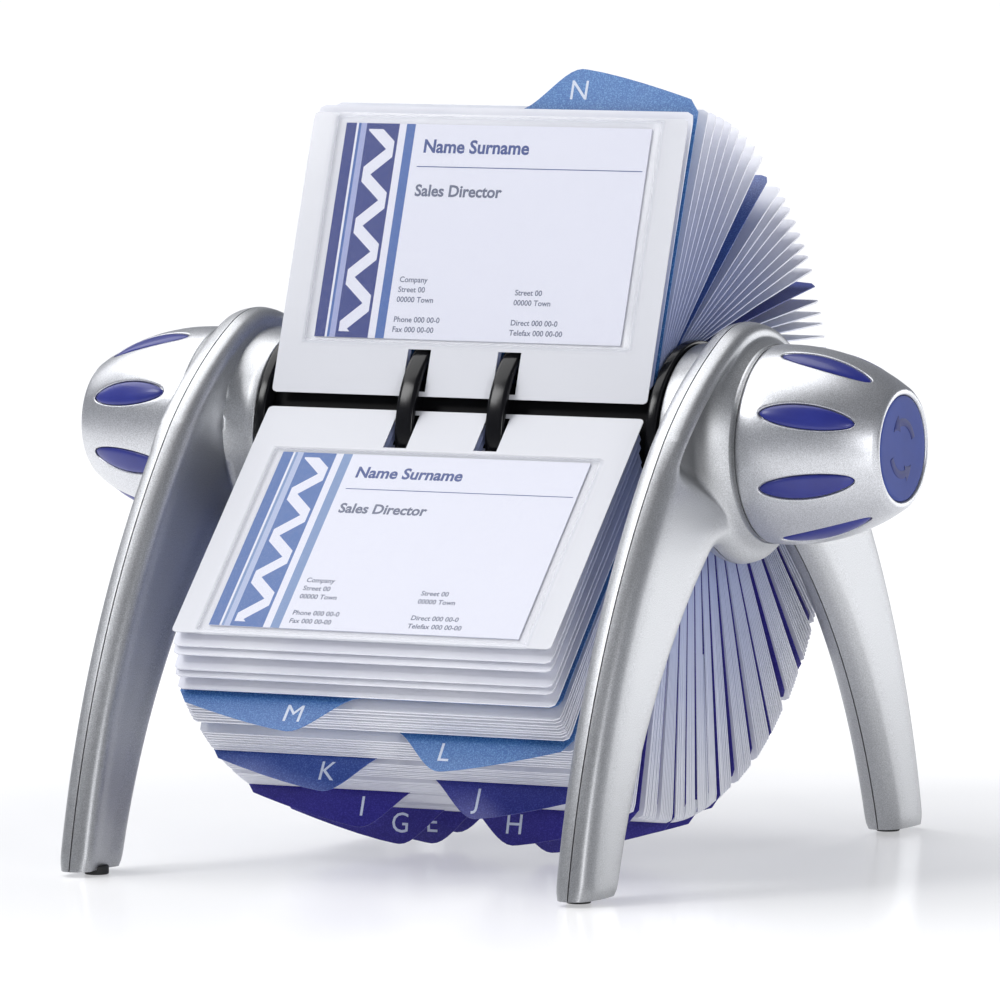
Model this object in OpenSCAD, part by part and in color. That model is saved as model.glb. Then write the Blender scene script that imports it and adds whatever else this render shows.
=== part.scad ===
// Desktop rotary card file. Two arched side frames carry a wheel of hanging card
// pockets and lettered index dividers, and a knob at each end turns the wheel.
// Millimetres. +X runs along the axle, -Y is the front and +Z is up. The origin is
// on the desk under the middle of the wheel.
//
// Sheets hang on two ring rails. A sheet's place is given by the angle of its inner
// edge round the axle and by its lean, both counted from the front horizontal,
// up over the top and down the back.

/* [Sheets] */
// Width of a card pocket or divider
page_w = 104; // [96:1:126]
// Height of a card pocket
pocket_h = 72; // [66:0.5:88]
// How much lower a divider's body is than a pocket
divider_drop = 2; // [0:0.5:4]
// Height of a divider's tab
tab_h = 11; // [7:0.5:14]
// Thickness of a pocket of folded film
film_t = 0.2; // [0.12:0.01:0.22]
// Thickness of a divider
divider_t = 0.24; // [0.15:0.01:0.26]
// Thickness of a pocket that holds a card
filled_t = 0.9; // [0.8:0.05:1]
// Number of plain pockets behind each divider
pockets_each = 8; // [4:1:8]

/* [Cards] */
// Width of a business card
card_w = 85; // [80:0.5:90]
// Height of a business card
card_h = 55; // [50:0.5:58]
// Thickness of a business card
card_t = 0.3; // [0.2:0.02:0.34]
// How far a card's edge lies inside the mouth of its pocket
card_inset = 2.6; // [1:0.1:5]

/* [Wheel] */
// Outer radius of the drum
drum_r = 20.5; // [18:0.1:21]
// Distance of each rail from the middle
rail_x = 12.5; // [10:0.1:24]
// Width of a rail's rim
rail_w = 5; // [4.4:0.1:5.6]
// Outer radius of a rail's rim
rail_r = 27; // [26.6:0.1:27.2]
// Radius of the drum's end flanges
flange_r = 24.7; // [22:0.1:28]
// Thickness of an end flange
flange_t = 2.7; // [2:0.1:5]
// Radius of the axle
axle_r = 4; // [3:0.1:5]

/* [Stand] */
// Gap between the lowest tab and the desk
floor_gap = 1.2; // [1:0.1:20]
// Distance of a leg's outer edge from the middle, at the desk
foot_reach = 95.5; // [86:0.5:120]
// Width of a leg at the desk, front to back
foot_w = 20.2; // [16:0.2:26]
// Thickness of a side frame
frame_t = 9.7; // [8:0.1:14]
// Radius of a frame's hub disc
hub_r = 29.6; // [28:0.1:34]
// Radius of the hub's boss, next to the wheel
boss_r = 24; // [20:0.1:26]
// Radius of a foot pad
pad_r = 3; // [2:0.1:4]

/* [Knobs] */
// Radius of a knob where it meets the hub
knob_r = 24.4; // [22:0.1:25]
// Length of a knob
knob_len = 33.9; // [28:0.1:42]
// Radius of the curve that a knob narrows along
crown_r = 52.75; // [48:0.5:120]
// Radius of the cap in the end of a knob
cap_r = 12.9; // [10:0.1:13.5]
// Number of grip inlays round a knob
grip_count = 8; // [4:1:9]
// Length of a grip inlay
grip_len = 23; // [16:0.5:25]
// Width of a grip inlay
grip_w = 6.6; // [4:0.1:9]

/* [Walls and fits] */
// Wall of every moulded shell
wall = 2; // [1.6:0.1:2.4]
// Radial clearance of a fit
fit = 0.05; // [0.02:0.01:0.08]
// Gap between parts that pass each other
gap = 0.3; // [0.2:0.05:0.5]

/* [Hidden] */
$fn = 96;
letters = ["a", "b", "c", "d", "e", "f", "g", "h", "i", "j", "k", "l", "m", "n",
           "o", "p", "q", "r", "s", "t", "u", "v", "w", "xy", "z"];
// The pockets behind these letters make one node each.
pocket_groups = [["n", "o", "p"], ["q", "r", "s"], ["t", "u", "v"], ["w", "xy", "z"],
                 ["a", "b", "c"], ["d", "e", "f"], ["g", "h", "i", "j"], ["k", "l", "m"]];
sides = ["left", "right"];

// Sheets. The ring is the circle that most inner edges lie on.
ring_r = drum_r + 1.3;
open_r = ring_r + 2.05;           // inner edges at the two open faces
divider_h = pocket_h - divider_drop;
divider_reach = divider_h + tab_h;
axle_h = ring_r + divider_reach + floor_gap;
web_w = 2.6;                      // web of a rail
neck_w = web_w + 2 * gap + 0.1;   // neck of a sheet's slot, which the rim can't pass
neck_h = 1.2;
slot_w = rail_w + 1.4;            // the slot past the neck
rim_t = 1.8;                      // thickness of a rail's rim
page_corner = 2.5;
// The two open faces: [angle of the inner edge, lean].
top_place = [25.5, 108.4];
bottom_place = [376.3, 313.9];
// First and last divider, and how the lean follows the angle between them.
first_divider = 39;
last_divider = 336;
leans = [[39, 109], [68, 143], [92, 165], [114, 183], [150, 206], [199, 236], [237, 262],
         [276, 274], [302, 291], [322, 304], [336, 314.3]];
// Slot height that takes a sheet at one place past the rim of its rail.
function slot_past_rim(r, place) = let (tilt = place[1] - place[0])
    sqrt(pow(rail_r + 0.4, 2) - pow(r * sin(tilt), 2)) - r * cos(tilt);
slot_h = max(concat([for (p = leans) slot_past_rim(ring_r, p)],
                    [for (p = [top_place, bottom_place]) slot_past_rim(open_r, p)]));
tops_behind = 1;                  // plain pockets between the top pocket and divider n
unders_behind = 5;                // plain pockets between divider m and the bottom pocket
sheets_each = pockets_each + 1;
// Sheets from divider n round to divider m, both of them counted.
ring_count = (len(letters) - 1) * sheets_each + 1;
// Room across the sheets, added up degree by degree.
room = [for (a = first_divider, s = 0; a <= last_divider;
             s = s + ring_r * cos(lookup(a, leans) - a) * PI / 180, a = a + 1) [s, a]];
room_end = room[len(room) - 1][0];

// Tabs
tab_start = 2;                    // foot of the tab, from the middle
tab_peak = 18.5;
tab_end_h = 3;                    // height left at the page's side
mouth_margin = 8;                 // film each side of a pocket's mouth
mouth_t = card_t + 2 * fit;

// Wheel
drum_wall = 2;
flange_x = page_w / 2 + 0.8;
spigot_h = 3;
hub_tube_r = 9;                   // tubes that hold the bushes
core_tube_r = axle_r + 4;
washer_t = 0.3;

// Frames, along X
boss_x = flange_x + flange_t + 0.5;
boss_len = 5.15;
half_t = frame_t / 2;
frame_x = boss_x + boss_len + half_t;
seam_x = frame_x + 10.57;         // where a knob meets the hub
parting = 0.05;                   // each shell's gap from the parting plane
frame_round = 7;                  // how far a leg's outer face rounds in
cavity_in = frame_round * 0.2 + wall + 0.3;
bush_r = axle_r + 3;
foot_gap = 1.3;                   // end of a leg above the desk
foot_block = 4;                   // solid foot that holds the pad
pad_depth = 1;
pad_y = foot_reach - foot_w / 2 + 0.1;
leg_pins = [[54.5, 66], [79, 24]];
pin_r = 1.5;
frame_steps = 5;

// Knobs, counted from the seam
knob_x = seam_x + gap;
crown_start = 3.3;
knob_wall = 3;
cup_depth = 24;
cap_t = 1.9;
grip_start = 5.6;
grip_depth = 1;
grip_proud = 0.3;
nut_r = 7;
nut_t = 4.5;
axle_end = knob_x + knob_len - cap_t - 0.9;

// ---- outlines -----------------------------------------------------------------

// Points after p up to q along an arc that turns right by `turn` degrees.
function arc(p, q, turn, n) =
    let (chord = q - p, radius = norm(chord) / (2 * sin(turn / 2)),
         start = atan2(chord[1], chord[0]) + turn / 2)
    [for (i = [1:n]) let (heading = start - turn * i / n)
        p + radius * [sin(start) - sin(heading), cos(heading) - cos(start)]];

// Points of a circle round the axle, in (y, z), between two angles above +Y.
function round_axle(r, from, to, n) =
    [for (i = [0:n]) let (a = from + (to - from) * i / n) [r * cos(a), axle_h + r * sin(a)]];

// A closed outline moved inwards by d, corner by corner; it runs clockwise.
function inset(loop, d) = let (n = len(loop))
    [for (i = [0:n - 1])
        let (a = loop[(i + n - 1) % n], b = loop[i], c = loop[(i + 1) % n],
             u = (b - a) / norm(b - a), v = (c - b) / norm(c - b),
             m = [u[1] + v[1], -u[0] - v[0]])
        b + d * m / (1 + u * v)];

// Half of a frame's outline in (y, z), from the top of the hub over the leg to the
// bottom of the hub. The legs run on below the desk and are cut off there.
below = 8;
shoulder = [44.2, axle_h + 3.4];
foot_out = [foot_reach, foot_gap];
foot_in = [foot_reach - foot_w, foot_gap];
arch_top = [25.8, axle_h - 25.7];
hub_side = 63;
hub_under = -58;
hub_top_pts = round_axle(hub_r, 90, hub_side, 6);
hub_under_pts = round_axle(hub_r, hub_under, -90, 7);
half_frame = concat(
    hub_top_pts,
    arc(hub_top_pts[6], shoulder, 20, 5),
    arc(shoulder, foot_out, 30, 12),
    [foot_out + [1.6, -below], foot_in + [2.7, -below], foot_in],
    arc(foot_in, arch_top, -33, 10),
    arc(arch_top, hub_under_pts[0], -73, 6),
    [for (i = [1:7]) hub_under_pts[i]]);
last = len(half_frame) - 1;
frame_loop = concat(half_frame, [for (i = [last - 1:-1:1]) [-half_frame[i][0], half_frame[i][1]]]);

// Half of a frame's thickness, from the parting plane out: plates that step in
// along a quarter ellipse.
module frame_half_solid() {
    for (k = [1:frame_steps]) {
        middle = 90 * (k - 0.5) / frame_steps;
        rise = half_t * sin(90 * k / frame_steps);
        translate([0, 0, parting]) linear_extrude(rise - parting)
            polygon(inset(frame_loop, frame_round * (1 - cos(middle))));
    }
}

// One corner of a sheet, four points from angle `from`, turning by -90.
function corner(centre, r, from) =
    [for (i = [0:3]) centre + r * [cos(from - 30 * i), sin(from - 30 * i)]];

// The slots that hook a sheet on the rails, along its inner edge from right to left.
function slots() =
    [for (c = [rail_x, -rail_x])
        for (p = [[neck_w / 2, 0], [neck_w / 2, neck_h], [slot_w / 2, neck_h],
                  [slot_w / 2, slot_h - 0.6], [slot_w / 2 - 0.6, slot_h],
                  [0.6 - slot_w / 2, slot_h], [-slot_w / 2, slot_h - 0.6],
                  [-slot_w / 2, neck_h], [-neck_w / 2, neck_h], [-neck_w / 2, 0]])
            [c + p[0], p[1]]];

module pocket_outline() {
    side = page_w / 2 - page_corner;
    polygon(concat(
        corner([-side, page_corner], page_corner, 270),
        corner([-side, pocket_h - page_corner], page_corner, 180),
        corner([side, pocket_h - page_corner], page_corner, 90),
        corner([side, page_corner], page_corner, 0),
        slots()));
}

// Height of a tab above the divider's body: a smooth rise to the peak, then a
// slightly crowned fall to the side of the page.
function tab_at(x) = x < tab_peak
    ? let (u = (x - tab_start) / (tab_peak - tab_start)) tab_h * u * u * (3 - 2 * u)
    : let (v = (x - tab_peak) / (page_w / 2 - tab_peak))
        tab_end_h + (tab_h - tab_end_h) * (1 - pow(v, 1.3));

module divider_outline(hand) {
    side = page_w / 2 - page_corner;
    rise = [for (i = [0:6]) tab_start + (tab_peak - tab_start) * i / 6];
    fall = [for (i = [1:5]) tab_peak + (side - tab_peak) * i / 5];
    mirror([hand < 0 ? 1 : 0, 0])
    polygon(concat(
        corner([-side, page_corner], page_corner, 270),
        corner([-side, divider_h - page_corner], page_corner, 180),
        [for (x = concat(rise, fall)) [x, divider_h + tab_at(x)]],
        [[page_w / 2, divider_h + tab_end_h - page_corner]],
        corner([side, page_corner], page_corner, 0),
        slots()));
}

// ---- placing ------------------------------------------------------------------

// Turns a shape built along Z to lie along X, from x outwards on one side.
module on_axle(hand, x) {
    mirror([hand < 0 ? 1 : 0, 0, 0]) translate([x, 0, axle_h]) rotate([0, 90, 0]) children();
}

// Stands an outline drawn in (y, z) up at x, raised towards +X or -X.
module in_frame(hand, outwards) {
    mirror([hand < 0 ? 1 : 0, 0, 0]) translate([frame_x, 0, 0])
        mirror([outwards ? 0 : 1, 0, 0]) rotate([90, 0, 90]) children();
}

// Hangs a sheet drawn in (x, distance from its inner edge), centred on its thickness.
module hang(r, place) {
    translate([0, -r * cos(place[0]), axle_h + r * sin(place[0])])
        rotate([180 - place[1], 0, 0]) children();
}

// Place of sheet k, from divider n round to divider m.
function ring_place(k) = let (a = lookup(room_end * k / (ring_count - 1), room))
    [a, lookup(a, leans)];

// Divider n is the first one on the ring.
function ring_index(letter) =
    let (i = search([letter], letters)[0], first = search(["n"], letters)[0])
    ((i - first + len(letters)) % len(letters)) * sheets_each;

function blend(a, b, t) = a + (b - a) * t;

module film(r, place) {
    hang(r, place) translate([0, 0, -film_t / 2]) linear_extrude(film_t) pocket_outline();
}

// ---- stand --------------------------------------------------------------------

module foot_cuts(hand) {
    translate([-500, -500, -100]) cube([1000, 1000, 100 + foot_gap]);
    for (y = [-pad_y, pad_y]) translate([hand * frame_x, y, 0])
        cylinder(r = pad_r + fit, h = foot_gap + pad_depth);
}

// The hollow of a frame half, open at the parting plane.
module frame_cavity(hand, outwards) {
    intersection() {
        in_frame(hand, outwards) translate([0, 0, -1])
            linear_extrude(half_t - wall + 1) polygon(inset(frame_loop, cavity_in));
        translate([-500, -500, foot_gap + foot_block]) cube([1000, 1000, 1000]);
    }
}

module frame_inner(hand) {
    color("silver") {
        difference() {
            union() {
                in_frame(hand, false) frame_half_solid();
                on_axle(hand, boss_x) cylinder(r = boss_r, h = boss_len + wall);
            }
            difference() {
                union() {
                    frame_cavity(hand, false);
                    on_axle(hand, boss_x + wall) cylinder(r = boss_r - wall, h = 20);
                }
                on_axle(hand, boss_x) cylinder(r = hub_tube_r, h = 20);
            }
            on_axle(hand, frame_x - parting) cylinder(r = hub_tube_r + 1, h = 20);
            on_axle(hand, boss_x - 1) cylinder(r = bush_r + fit, h = 20);
            foot_cuts(hand);
        }
        for (p = leg_pins) for (y = [-1, 1])
            in_frame(hand, false) translate([y * p[0], p[1], -wall])
                cylinder(r = pin_r, h = half_t, $fn = 24);
    }
}

module frame_outer(hand) {
    // The flare from the hub disc in to the collar, as [distance, radius].
    flare = arc([1.6, hub_r - 1], [7.2, knob_r], -73, 7);
    collar_len = seam_x - frame_x;
    color("silver") difference() {
        union() {
            difference() {
                union() {
                    in_frame(hand, true) frame_half_solid();
                    on_axle(hand, frame_x) rotate_extrude() polygon(concat(
                        [[0, 1], [hub_r - 1, 1], [hub_r - 1, 1.6]],
                        [for (p = flare) [p[1], p[0]]],
                        [[knob_r, collar_len - 0.4], [knob_r - 0.4, collar_len],
                         [0, collar_len]]));
                }
                difference() {
                    union() {
                        frame_cavity(hand, true);
                        on_axle(hand, frame_x - 1)
                            cylinder(r = knob_r - wall, h = collar_len - wall + 1);
                    }
                    on_axle(hand, frame_x - 2) cylinder(r = hub_tube_r, h = 20);
                }
                foot_cuts(hand);
            }
            for (p = leg_pins) for (y = [-1, 1])
                in_frame(hand, true) translate([y * p[0], p[1], 2 * parting])
                    cylinder(r = 2 * pin_r, h = half_t - wall, $fn = 24);
        }
        on_axle(hand, frame_x - 1) cylinder(r = bush_r + fit, h = 20);
        for (p = leg_pins) for (y = [-1, 1])
            in_frame(hand, true) translate([y * p[0], p[1], -1])
                cylinder(r = pin_r + fit, h = 1 + half_t - wall, $fn = 24);
    }
}

module foot_pads() {
    color("dimgray")
    for (x = [-frame_x, frame_x]) for (y = [-pad_y, pad_y]) translate([x, y, 0]) {
        cylinder(r1 = pad_r - 0.4, r2 = pad_r, h = 0.4);
        translate([0, 0, 0.4]) cylinder(r = pad_r, h = foot_gap + pad_depth - 0.4 - fit);
    }
}

module bush(hand) {
    color("ivory") on_axle(hand, boss_x + gap) difference() {
        cylinder(r = bush_r, h = seam_x - boss_x - 2 * gap);
        translate([0, 0, -1]) cylinder(r = axle_r + fit, h = 50);
    }
}

// ---- wheel --------------------------------------------------------------------

module axle() {
    color("silver") translate([-axle_end, 0, axle_h]) rotate([0, 90, 0]) {
        cylinder(r1 = axle_r - 0.6, r2 = axle_r, h = 0.6);
        translate([0, 0, 0.6]) cylinder(r = axle_r, h = 2 * axle_end - 1.2);
        translate([0, 0, 2 * axle_end - 0.6]) cylinder(r1 = axle_r, r2 = axle_r - 0.6, h = 0.6);
    }
}

module drum() {
    color("black") translate([-flange_x + fit, 0, axle_h]) rotate([0, 90, 0]) difference() {
        cylinder(r = drum_r, h = 2 * (flange_x - fit));
        translate([0, 0, -1]) cylinder(r = drum_r - drum_wall, h = 2 * flange_x + 2);
    }
}

module flange(hand) {
    color("black") on_axle(hand, flange_x) difference() {
        union() {
            cylinder(r = flange_r, h = flange_t);
            translate([0, 0, -spigot_h]) cylinder(r = drum_r - drum_wall - fit, h = spigot_h + 1);
            translate([0, 0, -4 * spigot_h]) cylinder(r = core_tube_r, h = 4 * spigot_h);
        }
        translate([0, 0, -spigot_h - 1]) difference() {
            cylinder(r = drum_r - 2 * drum_wall, h = spigot_h + 1);
            cylinder(r = core_tube_r, h = spigot_h + 1);
        }
        translate([0, 0, -50]) cylinder(r = axle_r + fit, h = 100);
    }
}

// A T-section ring: the rim keeps the sheets' necks on the web.
module rail(hand) {
    color("black") translate([hand * rail_x, 0, axle_h]) rotate([0, 90, 0])
        rotate_extrude() polygon([
            [drum_r + fit, -web_w / 2], [rail_r - rim_t, -web_w / 2],
            [rail_r - rim_t, -rail_w / 2], [rail_r - 0.4, -rail_w / 2],
            [rail_r, 0.4 - rail_w / 2], [rail_r, rail_w / 2 - 0.4],
            [rail_r - 0.4, rail_w / 2], [rail_r - rim_t, rail_w / 2],
            [rail_r - rim_t, web_w / 2], [drum_r + fit, web_w / 2]]);
}

module spring_washer(hand) {
    color("gray") on_axle(hand, flange_x + flange_t + 0.1) difference() {
        cylinder(r = hub_tube_r, h = washer_t);
        translate([0, 0, -1]) cylinder(r = axle_r + fit, h = 3);
    }
}

// ---- knobs --------------------------------------------------------------------

// Radius of a knob at a distance from the seam.
function knob_at(x) = let (t = max(0, x - crown_start))
    knob_r - crown_r + sqrt(crown_r * crown_r - t * t);

// A solid of revolution that follows the knob, deeper or prouder by `off`.
module knob_round(from, to, off) {
    n = 12;
    rotate_extrude() polygon(concat([[0, from]],
        [for (i = [0:n]) let (x = from + (to - from) * i / n) [knob_at(x) + off, x]],
        [[0, to]]));
}

// The lens-shaped prisms of the grips, all round, grown by `grow`.
module grip_prisms(grow) {
    half_l = grip_len / 2 + grow;
    half_w = grip_w / 2 + grow;
    steps = 10;
    lens = [for (i = [0:2 * steps - 1]) let (a = 180 * i / steps)
        [half_l * cos(a), half_w * sin(a) * sqrt(1 - 0.25 * pow(cos(a), 2))]];
    for (k = [0:grip_count - 1])
        rotate([0, 0, (k + 0.5) * 360 / grip_count])
            translate([0, 0, grip_start + grip_len / 2]) rotate([0, 90, 0])
                linear_extrude(knob_r + 2) polygon(lens);
}

module knob(hand) {
    color("silver") on_axle(hand, knob_x) difference() {
        union() {
            knob_round(0, knob_len - 0.5, 0);
            cylinder(r = knob_at(knob_len) - 0.3, h = knob_len);
        }
        difference() {
            translate([0, 0, -1]) knob_round(0, cup_depth, -knob_wall);
            cylinder(r = core_tube_r, h = cup_depth + 1);
        }
        translate([0, 0, -1]) cylinder(r = axle_r + fit, h = 60);
        translate([0, 0, knob_len - cap_t]) cylinder(r = cap_r + fit, h = 5);
        translate([0, 0, knob_len - cap_t - nut_t - 1]) cylinder(r = nut_r + 1, h = 10);
        difference() {
            intersection() {
                grip_prisms(0);
                translate([0, 0, 1]) knob_round(0, knob_len - 2, 2);
            }
            knob_round(0, knob_len, -grip_depth);
        }
    }
}

module knob_grips(hand) {
    color("mediumblue") on_axle(hand, knob_x) difference() {
        intersection() {
            grip_prisms(-fit);
            knob_round(1, knob_len - 1, grip_proud);
        }
        knob_round(0, knob_len, fit - grip_depth);
    }
}

module knob_cap(hand) {
    color("mediumblue") on_axle(hand, knob_x + knob_len - cap_t + fit) {
        cylinder(r = cap_r, h = cap_t - 0.6);
        translate([0, 0, cap_t - 0.6]) cylinder(r1 = cap_r, r2 = cap_r - 0.5, h = 0.3);
    }
}

module axle_nut(hand) {
    color("silver") on_axle(hand, knob_x + knob_len - cap_t - nut_t - 1 + fit) difference() {
        cylinder(r = nut_r, h = nut_t, $fn = 6);
        translate([0, 0, -1]) cylinder(r = axle_r + fit, h = 10);
    }
}

// ---- sheets -------------------------------------------------------------------

// A pocket that holds a card, open along its outer edge.
module filled_pocket(place) {
    mouth_w = page_w - 2 * mouth_margin;
    mouth_h = card_inset + card_h + 0.4;
    color("aliceblue") hang(open_r, place) difference() {
        translate([0, 0, -filled_t / 2]) linear_extrude(filled_t) pocket_outline();
        translate([-mouth_w / 2, pocket_h - mouth_h, -mouth_t / 2])
            cube([mouth_w, mouth_h + 1, mouth_t]);
    }
}

module card(place) {
    color("white") hang(open_r, place)
        translate([-card_w / 2, pocket_h - card_inset - card_h, -card_t / 2])
            cube([card_w, card_h, card_t]);
}

// Tabs take turns: a, c, e to the left and b, d, f to the right.
module divider(letter) {
    hand = search([letter], letters)[0] % 2 == 0 ? -1 : 1;
    color("royalblue") hang(ring_r, ring_place(ring_index(letter)))
        translate([0, 0, -divider_t / 2]) linear_extrude(divider_t) divider_outline(hand);
}

module pockets(group) {
    color("lightsteelblue") {
        for (letter = group) if (letter != "m") for (k = [1:pockets_each])
            film(ring_r, ring_place(ring_index(letter) + k));
        // The last letter's pockets are shared between the two open faces.
        if (group[0] == "n") for (k = [1:tops_behind])
            let (t = k / (tops_behind + 1))
                film(blend(open_r, ring_r, t), blend(top_place, ring_place(0), t));
        if (group[0] == "k") for (k = [1:unders_behind])
            let (t = k / (unders_behind + 1))
                film(blend(ring_r, open_r, t),
                     blend(ring_place(ring_count - 1), bottom_place, t));
    }
}

// ---- nodes --------------------------------------------------------------------

for (h = [-1, 1]) {
    side = sides[(h + 1) / 2];
    frame_inner(h);
    frame_outer(h);
    bush(h);
    flange(h);
    rail(h);
    spring_washer(h);
    knob(h);
    knob_grips(h);
    knob_cap(h);
    axle_nut(h);
}
foot_pads();
axle();
drum();
filled_pocket(top_place);  // top_pocket
card(top_place);  // top_card
filled_pocket(bottom_place);  // bottom_pocket
card(bottom_place);  // bottom_card
for (l = letters)
    divider(l);
for (g = pocket_groups)
    pockets(g);
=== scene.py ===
# %% [markdown]
# # A desktop rotary card file
# This lesson dresses a finished CAD model for the camera. The CAD model gives every place and
# size. Two arched silver stands carry a black drum between two silver knobs. Card pockets and
# lettered dividers hang on the drum by two rails, like the pages of a wheel-shaped book. Every
# shape is a formula of two parameters, worked out with numpy as whole arrays, which gives even,
# clean faces. Lengths are in millimetres until a piece is made; Blender gets metres.

import math

import bmesh
import bpy
import numpy as np
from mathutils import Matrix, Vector


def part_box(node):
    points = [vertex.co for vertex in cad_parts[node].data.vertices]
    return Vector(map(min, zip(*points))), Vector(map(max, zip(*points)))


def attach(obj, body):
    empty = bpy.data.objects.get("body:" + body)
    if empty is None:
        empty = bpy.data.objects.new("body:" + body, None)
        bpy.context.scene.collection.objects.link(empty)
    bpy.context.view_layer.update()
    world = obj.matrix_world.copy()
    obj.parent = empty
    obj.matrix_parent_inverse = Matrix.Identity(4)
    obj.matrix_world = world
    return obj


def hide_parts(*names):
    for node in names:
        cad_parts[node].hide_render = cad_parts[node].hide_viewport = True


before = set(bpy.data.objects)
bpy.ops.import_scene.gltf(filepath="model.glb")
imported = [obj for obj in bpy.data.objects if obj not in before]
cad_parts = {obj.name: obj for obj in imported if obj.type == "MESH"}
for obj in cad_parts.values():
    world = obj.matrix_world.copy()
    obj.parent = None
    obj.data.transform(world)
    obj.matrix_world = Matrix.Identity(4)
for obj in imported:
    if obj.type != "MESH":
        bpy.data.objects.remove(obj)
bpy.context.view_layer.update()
MM, sides = 0.001, (("left", -1), ("right", 1))


def corners(node):
    """Lowest and highest corner of a CAD node, in millimetres."""
    low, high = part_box(node)
    return np.array(low) / MM, np.array(high) / MM


axle_low, axle_high = corners("axle")
axle_h = (axle_low[2] + axle_high[2]) / 2
boss_x, seam_x = corners("right_frame_inner")[0][0], corners("right_frame_outer")[1][0]
knob_low, knob_high = corners("right_knob")
knob_x, knob_len = knob_low[0], knob_high[0] - knob_low[0]
print("axle height", axle_h, "knob from", knob_x, "length", knob_len)

# %% [markdown]
# ## From arrays to pieces
# A surface is a grid of points, and its faces join each point to the next in its row and the two
# above. Several grids make one piece: where their edges hold the same points, the doubles are
# merged and the seam disappears. The normals are worked out afterwards, so that every face of the
# closed shell points outwards.


# %% Grids, and the function that makes a piece of them
def grid(points, wrap=False):
    """A grid of points as (points, faces): face (i, j) joins rows i and i+1, columns j and j+1."""
    rows, cols = points.shape[:2]
    i, j = np.meshgrid(np.arange(rows - 1), np.arange(cols if wrap else cols - 1), indexing="ij")
    k = (j + 1) % cols
    faces = np.stack([i * cols + j, i * cols + k, (i + 1) * cols + k, (i + 1) * cols + j], -1)
    return points.reshape(-1, 3), faces.reshape(-1, 4)


def mesh_of(name, patches):
    """One mesh of all the patches, doubles merged, normals outwards."""
    start = np.cumsum([0] + [len(p) for p, _ in patches])
    points = np.concatenate([p for p, _ in patches]) * MM
    faces = np.concatenate([f + s for (_, f), s in zip(patches, start)])
    mesh = bpy.data.meshes.new(name)
    mesh.from_pydata(points.tolist(), [], faces.tolist())
    work = bmesh.new()
    work.from_mesh(mesh)
    bmesh.ops.remove_doubles(work, verts=work.verts, dist=1e-6)
    loose = [v for v in work.verts if not v.link_faces]
    bmesh.ops.delete(work, geom=loose, context="VERTS")
    bmesh.ops.recalc_face_normals(work, faces=work.faces)
    work.to_mesh(mesh)
    work.free()
    return mesh


def linked(name, data):
    """A new object in the scene."""
    obj = bpy.data.objects.new(name, data)
    bpy.context.scene.collection.objects.link(obj)
    return obj


def make(name, patches, finish, body, replaces=(), sharp=40):
    """A smooth piece on its CAD body, with edges sharper than `sharp` degrees kept crisp."""
    mesh = mesh_of(name, patches)
    mesh.shade_smooth()
    mesh.set_sharp_from_angle(angle=math.radians(sharp))
    mesh.materials.append(finish)
    obj = linked(name, mesh)
    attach(obj, body)
    if replaces:
        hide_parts(*replaces)
    print(name, len(mesh.polygons), "faces")
    return obj


def tell(obj, name, values):
    """Stores one number for every point under a name that the material can read."""
    attribute = obj.data.attributes.new(name, "FLOAT", "POINT")
    attribute.data.foreach_set("value", np.float32(values + np.zeros(len(obj.data.vertices))))


def places(obj):
    """The points of a piece, in millimetres."""
    co = np.zeros(len(obj.data.vertices) * 3)
    obj.data.vertices.foreach_get("co", co)
    return co.reshape(-1, 3) / MM


def smooth(t):
    """0 below 0, 1 above 1, and a soft S between: 3t squared minus 2t cubed."""
    t = np.clip(t, 0, 1)
    return t * t * (3 - 2 * t)


def quarter(d, r):
    """Height of a quarter circle, as a share of its radius r, at d in from its foot."""
    return np.sqrt(np.clip(1 - (1 - np.clip(d / r, 0, 1)) ** 2, 0, 1))


# %% [markdown]
# ## Writing shaders as sums
# A material in Blender is a graph of nodes. `Value` wraps one output socket and lets Python's own
# signs build the Math nodes: `1 - mask * 0.3` is an expression that reads as what it does.
# `Finish` holds one material's graph; its `node` method adds any other node, with its settings
# first and then what feeds its sockets.


# %% The small shader language
def math_sign(operation, swap=False):
    """The method behind one sign; `swap` serves a number on the left of it."""
    def method(self, other):
        a, b = (other, self) if swap else (self, other)
        return self.finish.node("ShaderNodeMath", {"operation": operation}, {0: a, 1: b})
    return method


class Value:
    """A number that varies over a surface; + - * < > on values or numbers add Math nodes."""

    def __init__(self, finish, socket):
        self.finish, self.socket = finish, socket

    __add__ = __radd__ = math_sign("ADD")
    __mul__ = __rmul__ = math_sign("MULTIPLY")
    __sub__, __rsub__ = math_sign("SUBTRACT"), math_sign("SUBTRACT", True)
    __gt__, __lt__ = math_sign("GREATER_THAN"), math_sign("LESS_THAN")


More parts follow.
